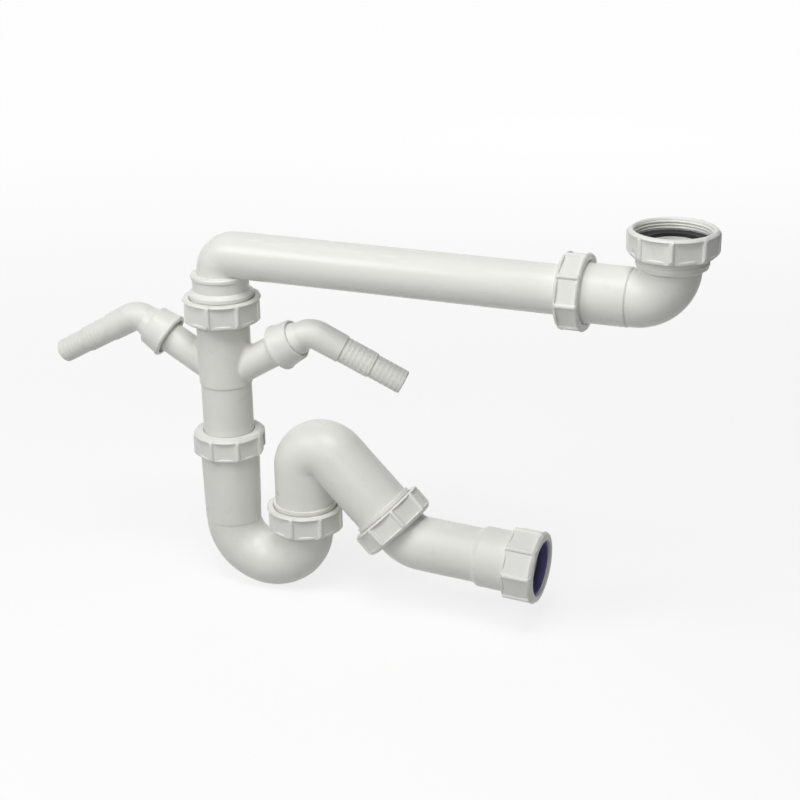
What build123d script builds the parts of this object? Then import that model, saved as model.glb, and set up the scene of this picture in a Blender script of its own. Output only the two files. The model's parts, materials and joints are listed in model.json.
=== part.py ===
from build123d import *
from math import cos, radians, sin, tan
import os

# Sink trap with a long bent inlet pipe, a tee with two hose nozzles, a swivel
# U-bend and a swan-neck outlet. Pipe, trap and outlet lie in the XZ plane. The origin
# is the middle of the inlet washer's upper face, where the sink's outlet seats,
# with +Z up and +X from the tee to the inlet. Sizes are in millimetres.

# Pipes: outside radii of what slides into a socket
pipe_r = 20.0
spigot_r = 23.0
tail_r = 22.1
waste_r = 21.5
pipe_wall = 2.0
moulded_wall = 2.6

# Layout of the axes
run = 390.0
pipe_drop = 48.5
tee_drop = 59.0
branch_drop = 52.0
trap_drop = 101.5
u_drop = 185.5
neck_leg = 1.0
swan_rise = 57.5
arm_length = 63.0
arm_heading = -45.0
branch_heading = 31.0
elbow_nut_reach = 86.0
outlet_reach = 118.9
outlet_fall = 2.5
tee_turn = 3.0

# Bends: centreline radii
pipe_bend_r = 16.0
elbow_bend_r = 28.0
u_bend_r = 36.0
swan_bend_r = 18.5
outlet_bend_r = 30.0
nozzle_bend_r = 15.0
nozzle_turn = 60.0
right_swing = 10.0
left_swing = -2.0

# Grip nuts: wall at the flats, length and lip
union_wall = 3.4
union_length = 21.5
cap_wall = 1.7
elbow_nut_wall = 4.0
cap_length = 20.5
inlet_wall = 1.9
inlet_length = 20.5
outlet_nut_length = 27.0
nut_sides = 8
rib_r = 2.2
rib_proud = 1.1
nut_lip = 2.6
nut_lead = 1.2
nut_rim = 3.0
nut_shoulder = 5.0
inlet_rim = 3.9

# Compression joint, measured from the nut's lip face into the socket
washer_thick = 1.6
seal_head = 2.8
seal_cone = 3.8
seat_depth = 4.5
seat_rise = 2.5
seal_edge = 0.6
slip_fit = 0.3
seal_fit = 0.3
washer_fit = 0.35
nut_hole_fit = 0.5
thread_fit = 0.3
seat_fit = 0.25

# Socket outsides
union_thread_r = 27.3
cap_thread_r = 26.7
elbow_thread_r = 24.4
elbow_socket_r = 23.6
trap_socket_r = 26.0
trap_socket_foot_r = 24.6
outlet_socket_r = 25.9
swan_r = 26.0
union_ring_r = 28.0
union_ring = 3.2
nut_gap = 0.4
u_r = 24.2
outlet_r = 23.4
outlet_socket_length = 51.5
outlet_flare = 5.0
cut_over = 1.0

# Depth that each pipe end goes into its socket, past the nut's lip face
spigot_depth = 22.5
stop_gap = 1.5
pipe_depth = 36.0
pipe_stop = 52.0
tail_depth = 39.5
tail_stop = 54.0
waste_depth = 40.0
waste_hole_r = 24.0

# Inlet coupling
inlet_thread_r = 29.9
inlet_lip = 3.5
flange_r = 29.4
flange_thick = 4.5
inlet_washer_r = 21.0
inlet_washer_thick = 3.0
inlet_neck_r = 27.4
inlet_neck_length = 9.0
inlet_flare = 4.0
flare_bite = 1.5
inlet_bore_r = 20.5
inlet_ring_r = 28.2
inlet_ring = 2.4
inlet_ring_drop = 4.5
inlet_relief = 0.5
elbow_r = 23.0
elbow_bore_r = 18.5
elbow_socket_end = 30.3
groove_depth = 0.8
groove_half = 2.2

# Bent pipe's lower socket
collar_r = 24.3
collar_top = 37.5
ring_slope = 3.2
bead_r = 25.4
bead_height = 4.6
bead_round = 1.2

# Tee
tee_body_end = 56.5
tee_step = 1.5
branch_r = 13.6
branch_bore_r = 10.5
branch_thread_r = 16.6
branch_round = 3.0

# Nozzles and their nuts, lengths along the branch from the tee's axis
nozzle_nut_end = 79.8
nozzle_nut_length = 20.0
nozzle_nut_mouth_r = 20.3
nozzle_nut_lip_r = 17.8
nozzle_nut_bead = 3.0
nozzle_nut_step = 0.9
nozzle_corner = 95.1
nozzle_length = 90.0
nozzle_root_r = 14.8
nozzle_r = 12.6
nozzle_bore_r = 7.6
nozzle_flange_r = 16.3
nozzle_flange = 3.5
flange_play = 0.1
nozzle_washer_thick = 2.0
branch_thread_length = 9.0
barb_root_r = 12.3
barb_mid_r = 11.4
barb_tip_r = 10.4
barb_chamfer = 0.8
barb_mid_start = 31.0
barb_tip_start = 60.0
nozzle_end_wall = 2.5

# Turn of each grip nut about its own axis
inlet_nut_turn = -11.5
elbow_nut_turn = -6.5
tee_nut_turn = -6.0
trap_nut_turn = -4.0
neck_nut_turn = -3.0
arm_nut_turn = 5.0
outlet_nut_turn = -4.0

# Levels and corners worked out from the layout
inlet_seat = inlet_lip + flange_thick + inlet_washer_thick
pipe_level = -pipe_drop
tee_level = pipe_level - tee_drop
u_level = tee_level - u_drop
neck_drop = u_drop - neck_leg
swan_x = -run + 2 * u_bend_r
swan_level = tee_level - neck_drop + swan_rise
arm_turn = 90 - arm_heading
arm_start_x = swan_x + swan_bend_r * (1 + sin(radians(-arm_heading)))
arm_start_z = swan_level + swan_bend_r * cos(radians(arm_heading))
arm_reach = arm_length + union_length
arm_end_x = arm_start_x + arm_reach * cos(radians(arm_heading))
arm_end_z = arm_start_z + arm_reach * sin(radians(arm_heading))
outlet_turn = -arm_heading - outlet_fall
outlet_tangent = outlet_bend_r * tan(radians(outlet_turn / 2))
outlet_corner = outlet_tangent + nut_gap
outlet_corner_x = arm_end_x + outlet_corner * cos(radians(arm_heading))
outlet_corner_z = arm_end_z + outlet_corner * sin(radians(arm_heading))
outlet_x = outlet_corner_x + outlet_reach * cos(radians(outlet_fall))
outlet_z = outlet_corner_z - outlet_reach * sin(radians(outlet_fall))
seal_top = -nut_lip - washer_thick
mouth = seal_top - seal_head


def station(x, z, heading):
    """Frame in the middle plane whose Z axis points along a heading in degrees above +X."""
    turn = radians(heading)
    return Plane((x, 0, z), x_dir=(-sin(turn), 0, cos(turn)), z_dir=(cos(turn), 0, sin(turn)))


def branch_station(azimuth):
    """Frame on the tee's axis whose Z axis points up along a branch."""
    rise = radians(branch_heading)
    across = Vector(cos(radians(azimuth)), sin(radians(azimuth)), 0)
    up = Vector(0, 0, 1)
    along = across * cos(rise) + up * sin(rise)
    return Plane((-run, 0, tee_level - branch_drop), x_dir=up * cos(rise) - across * sin(rise), z_dir=along)


def outline_plane(place):
    """Plane through a station's axis for outlines given as (radius, distance along the axis)."""
    return Plane(place.origin, x_dir=place.x_dir, z_dir=-place.y_dir)


def spin(place, *outline, mode=Mode.ADD):
    """Turn a closed outline about a station's axis into the part being built."""
    with BuildSketch(outline_plane(place)) as section:
        with BuildLine():
            Polyline(*outline, close=True)
        make_face()
    revolve(section.sketch, axis=Axis(place.origin, place.z_dir), mode=mode)


def rod(place, radius, start, end, mode=Mode.ADD):
    """Plain round length between two distances along a station's axis."""
    spin(place, (0, start), (radius, start), (radius, end), (0, end), mode=mode)


def bend(place, radius, bend_radius, turn, side, mode=Mode.ADD):
    """Round bend from a station, to its left with side 1 or right with side -1.

    A bend tighter than its tube keeps only the stretch outside the bend's axis.
    """
    with BuildSketch(place) as section:
        Circle(radius)
        with Locations((side * (bend_radius - radius) / 2, 0)):
            Rectangle(bend_radius + radius, 2 * radius, mode=Mode.INTERSECT)
    centre = place.origin + place.x_dir * (side * bend_radius)
    revolve(section.sketch, axis=Axis(centre, place.y_dir * side), revolution_arc=turn, mode=mode)


def socket_bore(place, tube_r, depth):
    """Seat cone and bore that take a tube end."""
    bore_r = tube_r + slip_fit
    spin(
        place,
        (0, mouth + cut_over),
        (bore_r + seat_rise, mouth + cut_over),
        (bore_r + seat_rise, mouth),
        (bore_r, mouth - seat_depth),
        (bore_r, -depth),
        (0, -depth),
        mode=Mode.SUBTRACT,
    )


def grip_nut(place, wall, length, hole_r, thread_r, lip, rim, turn):
    """Eight-sided nut with a rib on each corner, its lip face on the station."""
    bore_r = thread_r + thread_fit
    flat_r = bore_r + wall
    outer_r = flat_r / cos(radians(180 / nut_sides)) + rib_proud
    with BuildPart() as nut:
        with BuildSketch(place.offset(-length)):
            RegularPolygon(flat_r, nut_sides, major_radius=False, rotation=turn)
            with PolarLocations(outer_r - rib_r, nut_sides, start_angle=turn):
                Circle(rib_r)
        extrude(amount=length)
        with BuildSketch(outline_plane(place)) as blank:
            with Locations((outer_r / 2, -length / 2)):
                Rectangle(outer_r, length)
            fillet(blank.vertices().group_by(Axis.X)[-1].sort_by(Axis.Y)[-1], nut_shoulder)
            fillet(blank.vertices().group_by(Axis.X)[-1].sort_by(Axis.Y)[0], rim)
        revolve(blank.sketch, axis=Axis(place.origin, place.z_dir), mode=Mode.INTERSECT)
        spin(
            place,
            (0, -length - cut_over),
            (bore_r + nut_lead, -length - cut_over),
            (bore_r + nut_lead, -length),
            (bore_r, -length + nut_lead),
            (bore_r, -lip),
            (hole_r, -lip),
            (hole_r, cut_over),
            (0, cut_over),
            mode=Mode.SUBTRACT,
        )
    return nut


def joint_nut(place, wall, length, tube_r, thread_r, turn):
    """Grip nut of a compression joint."""
    return grip_nut(place, wall, length, tube_r + nut_hole_fit, thread_r, nut_lip, nut_rim, turn)


def slip_washer(place, tube_r, thread_r):
    """Thin hard washer between nut and seal."""
    inner_r = tube_r + washer_fit
    outer_r = thread_r - thread_fit
    with BuildPart() as washer:
        spin(
            place,
            (inner_r, seal_top),
            (outer_r, seal_top),
            (outer_r, -nut_lip),
            (inner_r, -nut_lip),
        )
    return washer


def cone_seal(place, tube_r, thread_r):
    """Rubber ring with a flat head on the socket's mouth and a cone in its seat."""
    inner_r = tube_r + seal_fit
    head_r = thread_r - seal_edge
    seat_r = tube_r + slip_fit + seat_rise
    tip_r = seat_r - seat_rise * seal_cone / seat_depth
    with BuildPart() as seal:
        spin(
            place,
            (inner_r, mouth - seal_cone),
            (tip_r - seat_fit, mouth - seal_cone),
            (seat_r - seat_fit, mouth),
            (head_r, mouth),
            (head_r, seal_top),
            (inner_r, seal_top),
        )
    return seal


# Stations at the outer lip face of each nut, pointing out of the socket
inlet = station(0, -inlet_seat, -90)
elbow_end = station(-elbow_nut_reach, pipe_level, 180)
tee_top = station(-run, tee_level, -90)
trap_top = station(-run, tee_level - trap_drop, 90)
neck_end = station(swan_x, tee_level - neck_drop, -90)
arm_end = station(arm_end_x, arm_end_z, arm_heading)
outlet_end = station(outlet_x, outlet_z, -outlet_fall)
right_branch = branch_station(tee_turn)
left_branch = branch_station(tee_turn + 180)

# Inlet nut and its flat rubber washer
inlet_nut = grip_nut(
    inlet,
    inlet_wall,
    inlet_length,
    inlet_neck_r + nut_hole_fit,
    inlet_thread_r - thread_fit,
    inlet_lip,
    inlet_rim,
    inlet_nut_turn,
)
relief_r = inlet_thread_r + inlet_relief
with inlet_nut:
    spin(
        inlet,
        (0, -inlet_seat),
        (relief_r, -inlet_seat),
        (relief_r, -inlet_lip),
        (0, -inlet_lip),
        mode=Mode.SUBTRACT,
    )
flange_top = -inlet_lip - flange_thick
with BuildPart() as inlet_washer:
    spin(
        inlet,
        (inlet_washer_r, flange_top),
        (flange_r, flange_top),
        (flange_r, -inlet_seat),
        (inlet_washer_r, -inlet_seat),
    )

# Inlet elbow: flange and neck in the nut, tight bend, threaded socket
elbow_bend_start = station(-elbow_bend_r, pipe_level, 0)
elbow_rise = pipe_drop - inlet_seat - elbow_bend_r
ring_foot = inlet_ring_drop + inlet_ring
groove_at = elbow_socket_end - elbow_nut_reach
with BuildPart() as inlet_elbow:
    rod(elbow_end, elbow_thread_r, mouth, -cap_length - nut_gap)
    rod(elbow_end, elbow_socket_r, -cap_length, groove_at)
    rod(elbow_end, elbow_r, groove_at, elbow_bend_r - elbow_nut_reach)
    spin(
        elbow_end,
        (elbow_r - groove_depth, groove_at),
        (elbow_socket_r + cut_over, groove_at + groove_half),
        (elbow_socket_r + cut_over, groove_at - groove_half),
        mode=Mode.SUBTRACT,
    )
    bend(elbow_bend_start, elbow_r, elbow_bend_r, 90, 1)
    spin(
        inlet,
        (0, flange_top),
        (flange_r, flange_top),
        (flange_r, -inlet_lip),
        (inlet_neck_r, -inlet_lip),
        (inlet_neck_r, inlet_ring_drop),
        (inlet_ring_r, inlet_ring_drop),
        (inlet_ring_r, ring_foot),
        (inlet_neck_r, ring_foot),
        (inlet_neck_r, inlet_neck_length),
        (elbow_r - flare_bite, inlet_neck_length + inlet_flare),
        (0, inlet_neck_length + inlet_flare),
    )
    socket_bore(elbow_end, pipe_r, pipe_stop)
    rod(elbow_end, elbow_bore_r, -pipe_depth, elbow_bend_r - elbow_nut_reach, mode=Mode.SUBTRACT)
    bend(elbow_bend_start, elbow_bore_r, elbow_bend_r, 90, 1, mode=Mode.SUBTRACT)
    spin(
        inlet,
        (0, flange_top - cut_over),
        (inlet_bore_r, flange_top - cut_over),
        (inlet_bore_r, elbow_rise - inlet_flare),
        (elbow_bore_r, elbow_rise),
        (0, elbow_rise),
        mode=Mode.SUBTRACT,
    )
elbow_nut = joint_nut(elbow_end, elbow_nut_wall, cap_length, pipe_r, elbow_thread_r, elbow_nut_turn)
elbow_washer = slip_washer(elbow_end, pipe_r, elbow_thread_r)
elbow_seal = cone_seal(elbow_end, pipe_r, elbow_thread_r)

# Bent pipe: long run, tight bend down, beaded collar and threaded socket
pipe_bend_start = station(-run, pipe_level - pipe_bend_r, 90)
pipe_run = station(-run + pipe_bend_r, pipe_level, 0)
pipe_length = run - pipe_bend_r - elbow_nut_reach + pipe_depth
pipe_bore_r = pipe_r - pipe_wall
pipe_foot = pipe_bend_r - tee_drop
socket_ring = -union_length - nut_gap
with BuildPart() as bent_pipe:
    rod(pipe_run, pipe_r, 0, pipe_length)
    bend(pipe_bend_start, pipe_r, pipe_bend_r, 90, -1)
    spin(
        tee_top,
        (0, mouth),
        (union_thread_r, mouth),
        (union_thread_r, socket_ring),
        (union_ring_r, socket_ring),
        (union_ring_r, socket_ring - union_ring),
        (collar_r, socket_ring - union_ring - ring_slope),
        (collar_r, -collar_top),
        (bead_r, -collar_top - bead_round),
        (bead_r, -collar_top - bead_height + bead_round),
        (collar_r, -collar_top - bead_height),
        (pipe_r, -collar_top - bead_height),
        (pipe_r, pipe_foot),
        (0, pipe_foot),
    )
    rod(pipe_run, pipe_bore_r, 0, pipe_length, mode=Mode.SUBTRACT)
    bend(pipe_bend_start, pipe_bore_r, pipe_bend_r, 90, -1, mode=Mode.SUBTRACT)
    rod(tee_top, pipe_bore_r, pipe_foot, 0, mode=Mode.SUBTRACT)
    socket_bore(tee_top, spigot_r, spigot_depth + stop_gap)
tee_nut = joint_nut(tee_top, union_wall, union_length, spigot_r, union_thread_r, tee_nut_turn)
tee_washer = slip_washer(tee_top, spigot_r, union_thread_r)
tee_seal = cone_seal(tee_top, spigot_r, union_thread_r)

# Tee: spigot and body, thinner tail, two threaded branches
tail_end = trap_drop + tail_depth
branch_end = nozzle_nut_end - nut_lip - flange_play - nozzle_flange - nozzle_washer_thick
branch_thread_start = branch_end - branch_thread_length
tee_axis = Plane(tee_top.origin, x_dir=(0, 1, 0), z_dir=tee_top.z_dir)
with BuildPart() as tee_piece:
    spin(
        tee_axis,
        (0, -spigot_depth),
        (spigot_r, -spigot_depth),
        (spigot_r, tee_body_end),
        (tail_r, tee_body_end + tee_step),
        (tail_r, tail_end),
        (0, tail_end),
    )
    for branch in (right_branch, left_branch):
        rod(branch, branch_r, 0, branch_end)
    fillet(tee_piece.edges().filter_by(GeomType.BSPLINE), branch_round)
    for branch in (right_branch, left_branch):
        rod(branch, branch_thread_r, branch_thread_start, branch_end)
    spin(
        tee_axis,
        (0, -spigot_depth),
        (spigot_r - moulded_wall, -spigot_depth),
        (spigot_r - moulded_wall, tee_body_end),
        (tail_r - moulded_wall, tee_body_end + tee_step),
        (tail_r - moulded_wall, tail_end),
        (0, tail_end),
        mode=Mode.SUBTRACT,
    )
    for branch in (right_branch, left_branch):
        rod(branch, branch_bore_r, 0, branch_end, mode=Mode.SUBTRACT)


def nozzle_nut(branch):
    """Flared collar nut that holds a nozzle's flange on a branch."""
    start = nozzle_nut_end - nozzle_nut_length
    bore_r = branch_thread_r + thread_fit
    hole_r = nozzle_root_r + nut_hole_fit
    bead_end = start + nozzle_nut_bead
    lip_face = nozzle_nut_end - nut_lip
    with BuildPart() as nut:
        spin(
            branch,
            (bore_r, start),
            (nozzle_nut_mouth_r - nut_lead, start),
            (nozzle_nut_mouth_r, start + nut_lead),
            (nozzle_nut_mouth_r, bead_end),
            (nozzle_nut_mouth_r - nozzle_nut_step, bead_end + nozzle_nut_step),
            (nozzle_nut_lip_r, nozzle_nut_end - nut_lead),
            (nozzle_nut_lip_r - nut_lead, nozzle_nut_end),
            (hole_r, nozzle_nut_end),
            (hole_r, lip_face),
            (bore_r, lip_face),
        )
    return nut


def nozzle_washer(branch):
    """Flat rubber ring between a branch's end and a nozzle's flange."""
    with BuildPart() as washer:
        spin(
            branch,
            (branch_bore_r, branch_end),
            (nozzle_flange_r, branch_end),
            (nozzle_flange_r, branch_end + nozzle_washer_thick),
            (branch_bore_r, branch_end + nozzle_washer_thick),
        )
    return washer


def nozzle(branch, swing):
    """Bent hose nozzle with a stepped tail, still closed at its tip, swung about its branch."""
    tangent = nozzle_bend_r * tan(radians(nozzle_turn / 2))
    bend_start = nozzle_corner - tangent
    foot = branch_end + nozzle_washer_thick
    swung = branch.x_dir * cos(radians(swing)) + branch.y_dir * sin(radians(swing))
    root = Plane(branch.origin, x_dir=swung, z_dir=branch.z_dir)
    start = root.offset(bend_start)
    tail = Plane(
        root.offset(nozzle_corner).origin,
        x_dir=root.x_dir * cos(radians(nozzle_turn)) + root.z_dir * sin(radians(nozzle_turn)),
        z_dir=root.z_dir * cos(radians(nozzle_turn)) - root.x_dir * sin(radians(nozzle_turn)),
    )
    with BuildPart() as spout:
        rod(root, nozzle_flange_r, foot, foot + nozzle_flange)
        spin(
            root,
            (0, foot),
            (nozzle_root_r, foot),
            (nozzle_root_r, nozzle_nut_end),
            (nozzle_r, bend_start),
            (0, bend_start),
        )
        bend(start, nozzle_r, nozzle_bend_r, nozzle_turn, -1)
        spin(
            tail,
            (0, tangent),
            (nozzle_r, tangent),
            (barb_root_r, barb_mid_start),
            (barb_mid_r, barb_mid_start),
            (barb_mid_r, barb_tip_start),
            (barb_tip_r, barb_tip_start),
            (barb_tip_r, nozzle_length - barb_chamfer),
            (barb_tip_r - barb_chamfer, nozzle_length),
            (0, nozzle_length),
        )
        rod(root, nozzle_bore_r, foot, bend_start, mode=Mode.SUBTRACT)
        bend(start, nozzle_bore_r, nozzle_bend_r, nozzle_turn, -1, mode=Mode.SUBTRACT)
        rod(tail, nozzle_bore_r, tangent, nozzle_length - nozzle_end_wall, mode=Mode.SUBTRACT)
    return spout


right_nozzle = nozzle(right_branch, right_swing)
right_nozzle_nut = nozzle_nut(right_branch)
right_nozzle_washer = nozzle_washer(right_branch)
left_nozzle = nozzle(left_branch, left_swing)
left_nozzle_nut = nozzle_nut(left_branch)
left_nozzle_washer = nozzle_washer(left_branch)

# U-bend: threaded socket leg, half-round bend, short spigot
u_start = station(-run, u_level, -90)
u_finish = station(swan_x, u_level, 90)
u_bore_r = spigot_r - moulded_wall
leg_end = trap_drop - u_drop
u_shoulder = u_drop - neck_drop - nut_gap
with BuildPart() as u_bend:
    spin(
        trap_top,
        (0, mouth),
        (cap_thread_r, mouth),
        (cap_thread_r, -cap_length - nut_gap),
        (trap_socket_r, -cap_length - nut_gap),
        (trap_socket_foot_r, leg_end),
        (0, leg_end),
    )
    bend(u_start, u_r, u_bend_r, 180, 1)
    rod(u_finish, u_r, 0, u_shoulder)
    rod(u_finish, spigot_r, 0, u_drop - neck_drop + spigot_depth)
    socket_bore(trap_top, tail_r, tail_stop)
    rod(trap_top, u_bore_r, leg_end, -tail_depth, mode=Mode.SUBTRACT)
    bend(u_start, u_bore_r, u_bend_r, 180, 1, mode=Mode.SUBTRACT)
    rod(u_finish, u_bore_r, 0, u_drop - neck_drop + spigot_depth, mode=Mode.SUBTRACT)
trap_nut = joint_nut(trap_top, cap_wall, cap_length, tail_r, cap_thread_r, trap_nut_turn)
trap_washer = slip_washer(trap_top, tail_r, cap_thread_r)
trap_seal = cone_seal(trap_top, tail_r, cap_thread_r)

# Swan neck: two ringed, threaded sockets joined by a creased bend
swan_start = station(swan_x, swan_level, 90)
swan_bore_r = spigot_r - moulded_wall
with BuildPart() as swan_neck:
    for end, length in ((neck_end, swan_rise), (arm_end, arm_reach)):
        spin(
            end,
            (0, mouth),
            (union_thread_r, mouth),
            (union_thread_r, socket_ring),
            (union_ring_r, socket_ring),
            (union_ring_r, socket_ring - union_ring),
            (swan_r, socket_ring - union_ring),
            (swan_r, -length),
            (0, -length),
        )
    bend(swan_start, swan_r, swan_bend_r, arm_turn, -1)
    for end, length in ((neck_end, swan_rise), (arm_end, arm_reach)):
        rod(end, swan_bore_r, -length, 0, mode=Mode.SUBTRACT)
        socket_bore(end, spigot_r, spigot_depth + stop_gap)
    bend(swan_start, swan_bore_r, swan_bend_r, arm_turn, -1, mode=Mode.SUBTRACT)
neck_nut = joint_nut(neck_end, union_wall, union_length, spigot_r, union_thread_r, neck_nut_turn)
neck_washer = slip_washer(neck_end, spigot_r, union_thread_r)
neck_seal = cone_seal(neck_end, spigot_r, union_thread_r)
arm_nut = joint_nut(arm_end, union_wall, union_length, spigot_r, union_thread_r, arm_nut_turn)
arm_washer = slip_washer(arm_end, spigot_r, union_thread_r)
arm_seal = cone_seal(arm_end, spigot_r, union_thread_r)

# Outlet elbow: spigot, gentle bend to level, socket for the waste pipe
outlet_start = arm_end.offset(nut_gap)
outlet_bore_r = spigot_r - moulded_wall
outlet_straight = outlet_tangent - outlet_reach
outlet_neck = -outlet_nut_length - nut_gap
with BuildPart() as outlet_elbow:
    rod(arm_end, spigot_r, -spigot_depth, nut_gap)
    bend(outlet_start, outlet_r, outlet_bend_r, outlet_turn, 1)
    spin(
        outlet_end,
        (0, mouth),
        (cap_thread_r, mouth),
        (cap_thread_r, outlet_neck),
        (outlet_socket_r, outlet_neck),
        (outlet_socket_r, -outlet_socket_length),
        (outlet_r, -outlet_socket_length - outlet_flare),
        (outlet_r, outlet_straight),
        (0, outlet_straight),
    )
    rod(arm_end, outlet_bore_r, -spigot_depth, nut_gap, mode=Mode.SUBTRACT)
    bend(outlet_start, outlet_bore_r, outlet_bend_r, outlet_turn, 1, mode=Mode.SUBTRACT)
    rod(outlet_end, outlet_bore_r, outlet_straight, 0, mode=Mode.SUBTRACT)
    socket_bore(outlet_end, waste_r, waste_depth)
outlet_nut = grip_nut(
    outlet_end,
    cap_wall,
    outlet_nut_length,
    waste_hole_r,
    cap_thread_r,
    nut_lip,
    nut_rim,
    outlet_nut_turn,
)
outlet_washer = slip_washer(outlet_end, waste_r, cap_thread_r)
outlet_seal = cone_seal(outlet_end, waste_r, cap_thread_r)

pieces = {
    "inlet_nut": inlet_nut,
    "inlet_washer": inlet_washer,
    "inlet_elbow": inlet_elbow,
    "elbow_nut": elbow_nut,
    "elbow_slip_washer": elbow_washer,
    "elbow_seal": elbow_seal,
    "bent_pipe": bent_pipe,
    "tee_nut": tee_nut,
    "tee_slip_washer": tee_washer,
    "tee_seal": tee_seal,
    "tee_piece": tee_piece,
    "right_nozzle": right_nozzle,
    "right_nozzle_nut": right_nozzle_nut,
    "right_nozzle_washer": right_nozzle_washer,
    "left_nozzle": left_nozzle,
    "left_nozzle_nut": left_nozzle_nut,
    "left_nozzle_washer": left_nozzle_washer,
    "trap_nut": trap_nut,
    "trap_slip_washer": trap_washer,
    "trap_seal": trap_seal,
    "u_bend": u_bend,
    "neck_nut": neck_nut,
    "neck_slip_washer": neck_washer,
    "neck_seal": neck_seal,
    "swan_neck": swan_neck,
    "arm_nut": arm_nut,
    "arm_slip_washer": arm_washer,
    "arm_seal": arm_seal,
    "outlet_elbow": outlet_elbow,
    "outlet_nut": outlet_nut,
    "outlet_slip_washer": outlet_washer,
    "outlet_seal": outlet_seal,
}
os.makedirs("parts", exist_ok=True)
for name, piece in pieces.items():
    piece.part.label = name
    export_step(piece.part, f"parts/{name}.step")
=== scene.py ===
import json
from math import cos, pi, radians, sin

import bmesh
import bpy
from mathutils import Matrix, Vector


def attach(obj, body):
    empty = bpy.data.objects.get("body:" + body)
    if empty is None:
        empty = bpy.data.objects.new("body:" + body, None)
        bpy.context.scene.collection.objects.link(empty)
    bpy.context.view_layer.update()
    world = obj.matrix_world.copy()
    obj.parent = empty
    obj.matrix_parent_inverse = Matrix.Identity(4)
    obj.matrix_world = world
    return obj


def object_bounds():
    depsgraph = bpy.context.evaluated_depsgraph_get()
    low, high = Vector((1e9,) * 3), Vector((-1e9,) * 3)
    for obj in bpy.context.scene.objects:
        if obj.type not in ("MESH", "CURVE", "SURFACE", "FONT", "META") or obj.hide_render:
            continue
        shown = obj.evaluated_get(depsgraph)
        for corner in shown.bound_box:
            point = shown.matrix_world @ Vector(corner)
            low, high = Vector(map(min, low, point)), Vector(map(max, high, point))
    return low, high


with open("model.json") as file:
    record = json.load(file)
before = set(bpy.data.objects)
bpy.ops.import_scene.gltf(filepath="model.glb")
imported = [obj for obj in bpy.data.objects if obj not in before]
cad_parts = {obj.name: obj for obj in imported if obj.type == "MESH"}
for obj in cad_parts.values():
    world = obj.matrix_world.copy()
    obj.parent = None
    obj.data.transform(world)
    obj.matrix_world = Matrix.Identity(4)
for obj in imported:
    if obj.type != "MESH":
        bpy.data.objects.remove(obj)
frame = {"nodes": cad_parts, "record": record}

cad_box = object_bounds()
scene = bpy.context.scene
scene.view_settings.view_transform = "Standard"


# Materials. Noise scales are in features per metre, and lengths are in metres.
drift_scale, gloss_scale, wave_scale, grain_scale = 22, 70, 45, 900
wave_strength, wave_height = 0.12, 0.0008
grain_height = 0.0003
seam_half_width, seam_strength, seam_height = 0.0005, 0.5, 0.0003
edge_radius = 0.0005
plastic_ior, specular_level = 1.49, 0.35


def link(tree, a, out, b, into):
    """Join an output of one node to an input of another."""
    tree.links.new(a.outputs[out], b.inputs[into])


def noise(tree, coords, scale, detail=2.0, stretch=(1, 1, 1)):
    """Noise over the object's own coordinates, in features per metre."""
    mapping = tree.nodes.new("ShaderNodeMapping")
    mapping.inputs["Scale"].default_value = stretch
    link(tree, coords, "Object", mapping, "Vector")
    tex = tree.nodes.new("ShaderNodeTexNoise")
    tex.inputs["Scale"].default_value = scale
    tex.inputs["Detail"].default_value = detail
    link(tree, mapping, "Vector", tex, "Vector")
    return tex


def ramp(tree, tex, low, high, at=(0.35, 0.65)):
    """Colour between two values as the noise goes from one level to another."""
    node = tree.nodes.new("ShaderNodeValToRGB")
    for stop, place, colour in zip(node.color_ramp.elements, at, (low, high)):
        stop.position = place
        stop.color = (*colour, 1)
    link(tree, tex, "Fac", node, "Fac")
    return node


def levels(tree, tex, low, high):
    """Number between two values over the noise's usual range."""
    node = tree.nodes.new("ShaderNodeMapRange")
    node.inputs["From Min"].default_value = 0.3
    node.inputs["From Max"].default_value = 0.7
    node.inputs["To Min"].default_value = low
    node.inputs["To Max"].default_value = high
    link(tree, tex, "Fac", node, "Value")
    return node


def bump(tree, source, out, strength, distance, below):
    """Relief on top of the normal that another node gives."""
    node = tree.nodes.new("ShaderNodeBump")
    node.inputs["Strength"].default_value = strength
    node.inputs["Distance"].default_value = distance
    link(tree, source, out, node, "Height")
    link(tree, below, "Normal", node, "Normal")
    return node


def seam(tree, coords, half_width):
    """1 along the moulding's parting line, which lies in the middle plane."""
    split = tree.nodes.new("ShaderNodeSeparateXYZ")
    link(tree, coords, "Object", split, "Vector")
    size = tree.nodes.new("ShaderNodeMath")
    size.operation = "ABSOLUTE"
    link(tree, split, "Y", size, 0)
    line = tree.nodes.new("ShaderNodeMapRange")
    line.interpolation_type = "SMOOTHSTEP"
    line.inputs["From Min"].default_value = half_width
    line.inputs["From Max"].default_value = half_width / 3
    link(tree, size, "Value", line, "Value")
    return line


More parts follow.
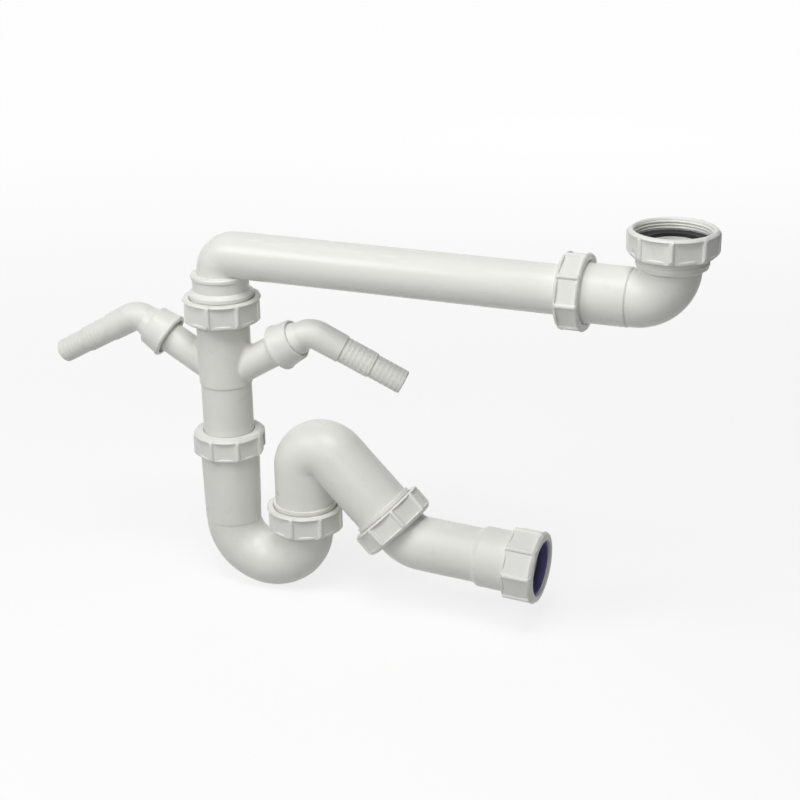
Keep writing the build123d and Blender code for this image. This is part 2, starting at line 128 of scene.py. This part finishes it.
def moulded(name, light, dark, rough, grain=0.05, stretch=(1, 1, 1), parting=False):
    """Moulded plastic or rubber: colour drift, uneven gloss, grain, rounded edges and a parting line."""
    mat = bpy.data.materials.new(name)
    mat.use_nodes = True
    tree = mat.node_tree
    shader = tree.nodes["Principled BSDF"]
    coords = tree.nodes.new("ShaderNodeTexCoord")
    colour = ramp(tree, noise(tree, coords, drift_scale, 3, stretch), dark, light)
    link(tree, colour, "Color", shader, "Base Color")
    gloss = levels(tree, noise(tree, coords, gloss_scale, 4, stretch), *rough)
    link(tree, gloss, "Result", shader, "Roughness")
    edges = tree.nodes.new("ShaderNodeBevel")
    edges.samples = 6
    edges.inputs["Radius"].default_value = edge_radius
    fine = noise(tree, coords, grain_scale, 2, stretch)
    height = bump(tree, fine, "Fac", grain, grain_height, edges)
    waves = noise(tree, coords, wave_scale, 1, stretch)
    height = bump(tree, waves, "Fac", wave_strength, wave_height, height)
    if parting:
        line = seam(tree, coords, seam_half_width)
        height = bump(tree, line, "Result", seam_strength, seam_height, height)
    link(tree, height, "Normal", shader, "Normal")
    shader.inputs["IOR"].default_value = plastic_ior
    shader.inputs["Specular IOR Level"].default_value = specular_level
    return mat


finishes = {
    "fitting_plastic": moulded(
        "fitting_plastic", (0.80, 0.80, 0.757), (0.765, 0.765, 0.725), (0.26, 0.4), parting=True
    ),
    "pipe_plastic": moulded(
        "pipe_plastic", (0.81, 0.81, 0.77), (0.775, 0.775, 0.737), (0.2, 0.34), stretch=(0.12, 1, 1)
    ),
    "nut_plastic": moulded("nut_plastic", (0.80, 0.80, 0.76), (0.765, 0.765, 0.73), (0.26, 0.4)),
    "slip_plastic": moulded("slip_plastic", (0.72, 0.72, 0.72), (0.66, 0.66, 0.67), (0.45, 0.6)),
    "washer_rubber": moulded(
        "washer_rubber", (0.03, 0.03, 0.034), (0.018, 0.018, 0.02), (0.5, 0.7), grain=0.2
    ),
    "seal_rubber": moulded(
        "seal_rubber", (0.16, 0.155, 0.37), (0.115, 0.11, 0.27), (0.45, 0.65), grain=0.2
    ),
}

# Every CAD node takes the finish of its slot
for part in frame["record"]["subparts"]:
    node = frame["nodes"][part["node"]]
    node.data.materials.clear()
    node.data.materials.append(finishes[part["material_slot"]])


# Screw thread inside the inlet nut

root_half, crest_half = 0.46, 0.1  # half widths of the ridge, in pitches
fade = 4  # the ridge rises and falls over a quarter of a turn


def inner_thread(name, root_r, crest_r, pitch, low, high, steps=96):
    """Helical ridge on the wall of a bore along Z that fades in and out at its ends."""
    turns = (high - low) / pitch
    count = round(turns * steps)
    verts, faces = [], []
    for i in range(count + 1):
        angle = 2 * pi * i / steps
        z = low + pitch * i / steps
        crest = root_r - (root_r - crest_r) * min(1, fade * i / steps, fade * (count - i) / steps)
        ridge_points = ((root_r, -root_half), (crest, -crest_half), (crest, crest_half), (root_r, root_half))
        for r, rise in ridge_points:
            verts.append((r * cos(angle), r * sin(angle), z + pitch * rise))
        if i:
            a, b = 4 * (i - 1), 4 * i
            faces += [(a + k, b + k, b + k + 1, a + k + 1) for k in range(3)]
    mesh = bpy.data.meshes.new(name)
    mesh.from_pydata(verts, [], faces)
    mesh.shade_smooth()
    ridge = bpy.data.objects.new(name, mesh)
    scene.collection.objects.link(ridge)
    return ridge


thread = inner_thread("inlet_thread", root_r=0.02995, crest_r=0.0287, pitch=0.00231, low=0.0012, high=0.0072)
thread.data.materials.append(finishes["nut_plastic"])
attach(thread, "sink_coupling")


# Round bands at both ends of each grip nut, and fine hose rings on the nozzles

branch_rise, nozzle_turn = 31, 60  # degrees, as in the solids
branch_foot = Vector((-0.390, 0, -0.1595))
nozzle_corner = 0.0951
smooth_below = 40


def lathe(name, axis_at, axis, profiles, steps=64):
    """Closed rings whose outlines are (radius, distance along the axis) points."""
    along = Vector(axis).normalized()
    side = along.orthogonal().normalized()
    up = along.cross(side)
    verts, faces = [], []
    for outline in profiles:
        first, count = len(verts), len(outline)
        for i in range(steps):
            turn = 2 * pi * i / steps
            out = side * cos(turn) + up * sin(turn)
            verts += [Vector(axis_at) + along * t + out * r for r, t in outline]
        for i in range(steps):
            a, b = first + i * count, first + (i + 1) % steps * count
            faces += [(a + k, a + (k + 1) % count, b + (k + 1) % count, b + k) for k in range(count)]
    mesh = bpy.data.meshes.new(name)
    mesh.from_pydata(verts, [], faces)
    solid = bmesh.new()
    solid.from_mesh(mesh)
    bmesh.ops.recalc_face_normals(solid, faces=solid.faces)
    solid.to_mesh(mesh)
    solid.free()
    mesh.shade_smooth()
    mesh.set_sharp_from_angle(angle=radians(smooth_below))
    rings = bpy.data.objects.new(name, mesh)
    scene.collection.objects.link(rings)
    return rings


def tail_axis(azimuth, swing):
    """Corner of a nozzle's bend and the direction of its tail, as in the solids."""
    rise, turn, swing = radians(branch_rise), radians(nozzle_turn), radians(swing)
    across = Vector((cos(radians(azimuth)), sin(radians(azimuth)), 0))
    along = across * cos(rise) + Vector((0, 0, sin(rise)))
    up = Vector((0, 0, cos(rise))) - across * sin(rise)
    over = up * cos(swing) + along.cross(up) * sin(swing)
    corner = branch_foot + along * nozzle_corner
    return corner, along * cos(turn) - over * sin(turn)


flat_sink = 0.0004  # how far a band's foot lies under the nut's flats
skin = 0.0001  # how far a band stays inside the nut's end faces
rib_gap = 0.0007  # how far a band stays under the ribs' rounded ends
foot_gap = 0.0002  # how far a band's foot stays under its rounding
rib_proud = 0.0011
lip_rounding = 0.005
band_steps, band_step_turn, band_foot = 6, 13, 0.001


def end_band(outer_r, flat_r, rounding, rise, place, into):
    """Outline of a round band that closes the ends of a nut's panels, just under its ribs."""
    inner_r = min(flat_r - flat_sink, outer_r - rounding - foot_gap)
    outline = [(inner_r, place + into * skin)]
    for step in range(band_steps):
        turn = radians(90 - band_step_turn * step)
        r = outer_r - rounding + (rounding - rib_gap) * cos(turn)
        depth = rounding - (rounding - skin) * sin(turn)
        outline.append((min(r, flat_r + rise), place + into * depth))
    outline.append((flat_r - flat_sink, place + into * (depth + band_foot)))
    return outline


full, low = 0.003, 0.0009  # how far a band may rise over the flats
# Name, body, middle of the lip face, axis, length, radius of the flats, rim rounding, rise at lip and rim
nut_bands = (
    ("inlet", "sink_coupling", (0, 0, -0.011), (0, 0, -1), 0.0205, 0.0318, 0.0039, low, full),
    ("elbow", "elbow_ring_nut", (-0.086, 0, -0.0485), (-1, 0, 0), 0.0205, 0.0287, 0.003, full, full),
    ("tee", "tee_ring_nut", (-0.39, 0, -0.1075), (0, 0, -1), 0.0215, 0.031, 0.003, low, full),
    ("trap", "trap_ring_nut", (-0.39, 0, -0.209), (0, 0, 1), 0.0205, 0.0287, 0.003, full, low),
    ("neck", "neck_ring_nut", (-0.318, 0, -0.292), (0, 0, -1), 0.0215, 0.031, 0.003, low, full),
    ("arm", "arm_ring_nut", (-0.226672, 0, -0.281171), (1, 0, -1), 0.0215, 0.031, 0.003, full, full),
    ("outlet", "outlet_ring_nut", (-0.099353, 0, -0.29489), (0.999048, 0, -0.043619),
     0.027, 0.0287, 0.003, full, low),
)
for name, body, lip_face, axis, length, flat_r, rim, lip_rise, rim_rise in nut_bands:
    rib_tip_r = flat_r / cos(pi / 8) + rib_proud
    outlines = (end_band(rib_tip_r, flat_r, lip_rounding, lip_rise, 0, -1),
                end_band(rib_tip_r, flat_r, rim, rim_rise, -length, 1))
    bands = lathe(name + "_nut_bands", lip_face, axis, outlines, 128)
    bands.data.materials.append(finishes["nut_plastic"])
    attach(bands, body)

ring_height, ring_width, ring_pitch = 0.00015, 0.0026, 0.0044
ring_root, ring_edge = 0.0014, 0.0001  # depths of a ring's foot and edge in the nozzle's wall
shoulder_height, shoulder_place = 0.6, 0.3  # shares of the ring's height and width
tail_steps = ((0.0114, 0.0322, 0.0590), (0.0104, 0.0612, 0.0880))  # radius, start and end of the rings
for side, azimuth, swing in (("right", 3, 10), ("left", 183, -2)):
    corner, axis = tail_axis(azimuth, swing)
    outlines = []
    for radius, start, end in tail_steps:
        for i in range(int((end - start) / ring_pitch)):
            t = start + ring_pitch * (i + 0.5)
            shoulder = radius + ring_height * shoulder_height
            outlines.append((
                (radius - ring_root, t - ring_width / 2),
                (radius - ring_root, t + ring_width / 2),
                (radius - ring_edge, t + ring_width / 2),
                (shoulder, t + ring_width * shoulder_place),
                (radius + ring_height, t),
                (shoulder, t - ring_width * shoulder_place),
                (radius - ring_edge, t - ring_width / 2),
            ))
    rings = lathe(side + "_hose_rings", corner, axis, outlines)
    rings.data.materials.append(finishes["fitting_plastic"])
    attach(rings, side + "_spout")


# Floor, light and camera

def seen_rays(tree):
    """1 for the rays that see the white background, straight, mirrored or through the object."""
    paths = tree.nodes.new("ShaderNodeLightPath")
    mirrored = tree.nodes.new("ShaderNodeMath")
    mirrored.operation = "MAXIMUM"
    link(tree, paths, "Is Camera Ray", mirrored, 0)
    link(tree, paths, "Is Glossy Ray", mirrored, 1)
    through = tree.nodes.new("ShaderNodeMath")
    through.operation = "MAXIMUM"
    link(tree, mirrored, "Value", through, 0)
    link(tree, paths, "Is Transmission Ray", through, 1)
    return through


floor_z = cad_box[0][2]
floor_size, floor_grey, floor_roughness = 12, 0.5, 0.9
shadow_start, shadow_end = 0.5, 2.2  # distances over which the floor's shadow fades
near_glow, far_glow = 0.8, 0.985
shade_light = 0.06  # what the world adds to the lamps
bpy.ops.mesh.primitive_plane_add(size=floor_size, location=(0, 0, floor_z))
floor = bpy.context.object
floor.name = "floor"
floor_mat = bpy.data.materials.new("floor")
floor_mat.use_nodes = True
floor_tree = floor_mat.node_tree
plain = floor_tree.nodes["Principled BSDF"]
plain.inputs["Base Color"].default_value = (floor_grey, floor_grey, floor_grey, 1)
plain.inputs["Roughness"].default_value = floor_roughness
glow = floor_tree.nodes.new("ShaderNodeEmission")
glow.inputs["Color"].default_value = (1, 1, 1, 1)
glow.inputs["Strength"].default_value = 1.0
# Near the object the white floor keeps the shadow, and further off it fades into the background
pale = floor_tree.nodes.new("ShaderNodeBsdfDiffuse")
pale.inputs["Color"].default_value = (1, 1, 1, 1)
floor_coords = floor_tree.nodes.new("ShaderNodeTexCoord")
away = floor_tree.nodes.new("ShaderNodeVectorMath")
away.operation = "LENGTH"
link(floor_tree, floor_coords, "Object", away, 0)
share = floor_tree.nodes.new("ShaderNodeMapRange")
share.interpolation_type = "SMOOTHSTEP"
share.inputs["From Min"].default_value = shadow_start
share.inputs["From Max"].default_value = shadow_end
share.inputs["To Min"].default_value = near_glow
share.inputs["To Max"].default_value = far_glow
link(floor_tree, away, "Value", share, "Value")
white = floor_tree.nodes.new("ShaderNodeMixShader")
link(floor_tree, share, "Result", white, 0)
link(floor_tree, pale, "BSDF", white, 1)
link(floor_tree, glow, "Emission", white, 2)
blend = floor_tree.nodes.new("ShaderNodeMixShader")
link(floor_tree, seen_rays(floor_tree), "Value", blend, 0)
link(floor_tree, plain, "BSDF", blend, 1)
link(floor_tree, white, "Shader", blend, 2)
link(floor_tree, blend, "Shader", floor_tree.nodes["Material Output"], "Surface")
floor.data.materials.append(floor_mat)

world = bpy.data.worlds.new("studio")
scene.world = world
world.use_nodes = True
sky = world.node_tree
back = sky.nodes["Background"]
back.inputs["Color"].default_value = (1, 1, 1, 1)
strength = sky.nodes.new("ShaderNodeMapRange")
strength.inputs["To Min"].default_value = shade_light
strength.inputs["To Max"].default_value = 1.0
link(sky, seen_rays(sky), "Value", strength, "Value")
link(sky, strength, "Result", back, "Strength")


def lamp(name, place, aim, size, power):
    """Round area lamp that points at a place."""
    light = bpy.data.lights.new(name, "AREA")
    light.shape = "DISK"
    light.size = size
    light.energy = power
    obj = bpy.data.objects.new(name, light)
    obj.location = place
    obj.rotation_euler = (Vector(aim) - Vector(place)).to_track_quat("-Z", "Y").to_euler()
    scene.collection.objects.link(obj)
    return obj


middle = (-0.25, 0, -0.17)
lamp("key", (-1.2, -1.2, 1.0), middle, 0.9, 11)
lamp("fill", (0.0, -1.8, 0.7), middle, 0.9, 7.5)
lamp("back", (-0.6, 1.8, 0.4), middle, 1.4, 8).visible_glossy = False
lamp("top", (-0.1, -0.7, 1.5), middle, 1.0, 17.5)

camera = bpy.data.objects.new("camera", bpy.data.cameras.new("camera"))
camera.data.sensor_width = 36
camera.data.lens = 75.816
camera.location = (0.282276, -1.208975, 0.358359)
camera.rotation_euler = (radians(68.427), radians(0.9393), radians(22.4287))
scene.collection.objects.link(camera)
scene.camera = camera
